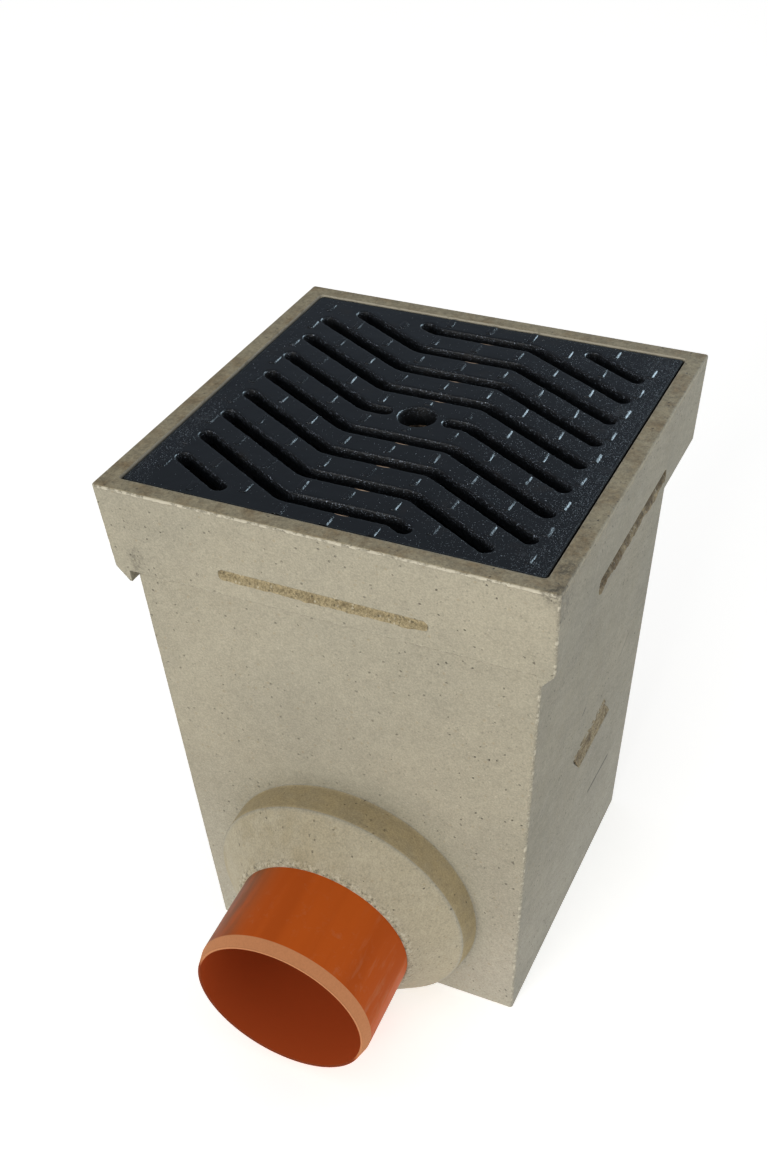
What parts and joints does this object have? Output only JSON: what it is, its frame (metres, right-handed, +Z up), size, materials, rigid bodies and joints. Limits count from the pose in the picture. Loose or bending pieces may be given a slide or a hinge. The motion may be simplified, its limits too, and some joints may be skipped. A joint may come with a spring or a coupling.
{
  "type": "gully trap",
  "caption": "Square yard gully of cast polymer concrete with a wave slotted iron grate, a plastic outlet stub, a hanging sediment bucket and a water seal trap inside.",
  "frame": {"origin": "on the base, straight under the centre of the square rim", "axes": "+Z up, -Y out of the outlet, +X to the right when facing the outlet from its open end"},
  "size_m": [0.2998, 0.387, 0.395],
  "materials": {
    "polymer_concrete": "fine grained cast surface",
    "orange_pvc": "extruded, semi gloss",
    "black_iron": "dipped in black bitumen",
    "grey_plastic": "moulded, satin",
    "zinc_wire": "galvanised wire",
    "black_rubber": "moulded rubber"
  },
  "bodies": {
    "gully": {"gully_body": "polymer_concrete", "outlet_pipe": "orange_pvc", "grate": "black_iron", "sediment_bucket": "grey_plastic", "trap_elbow": "grey_plastic", "trap_seal": "black_rubber", "trap_bell": "grey_plastic"},
    "bail": {"bucket_bail": "zinc_wire"}
  },
  "joints": [
    {"name": "bail_swing", "type": "hinge", "parent": "gully", "child": "bail", "pos_m": [0, -0.00595, 0.29878], "axis": [1, 0, 0], "continuous": true}
  ]
}
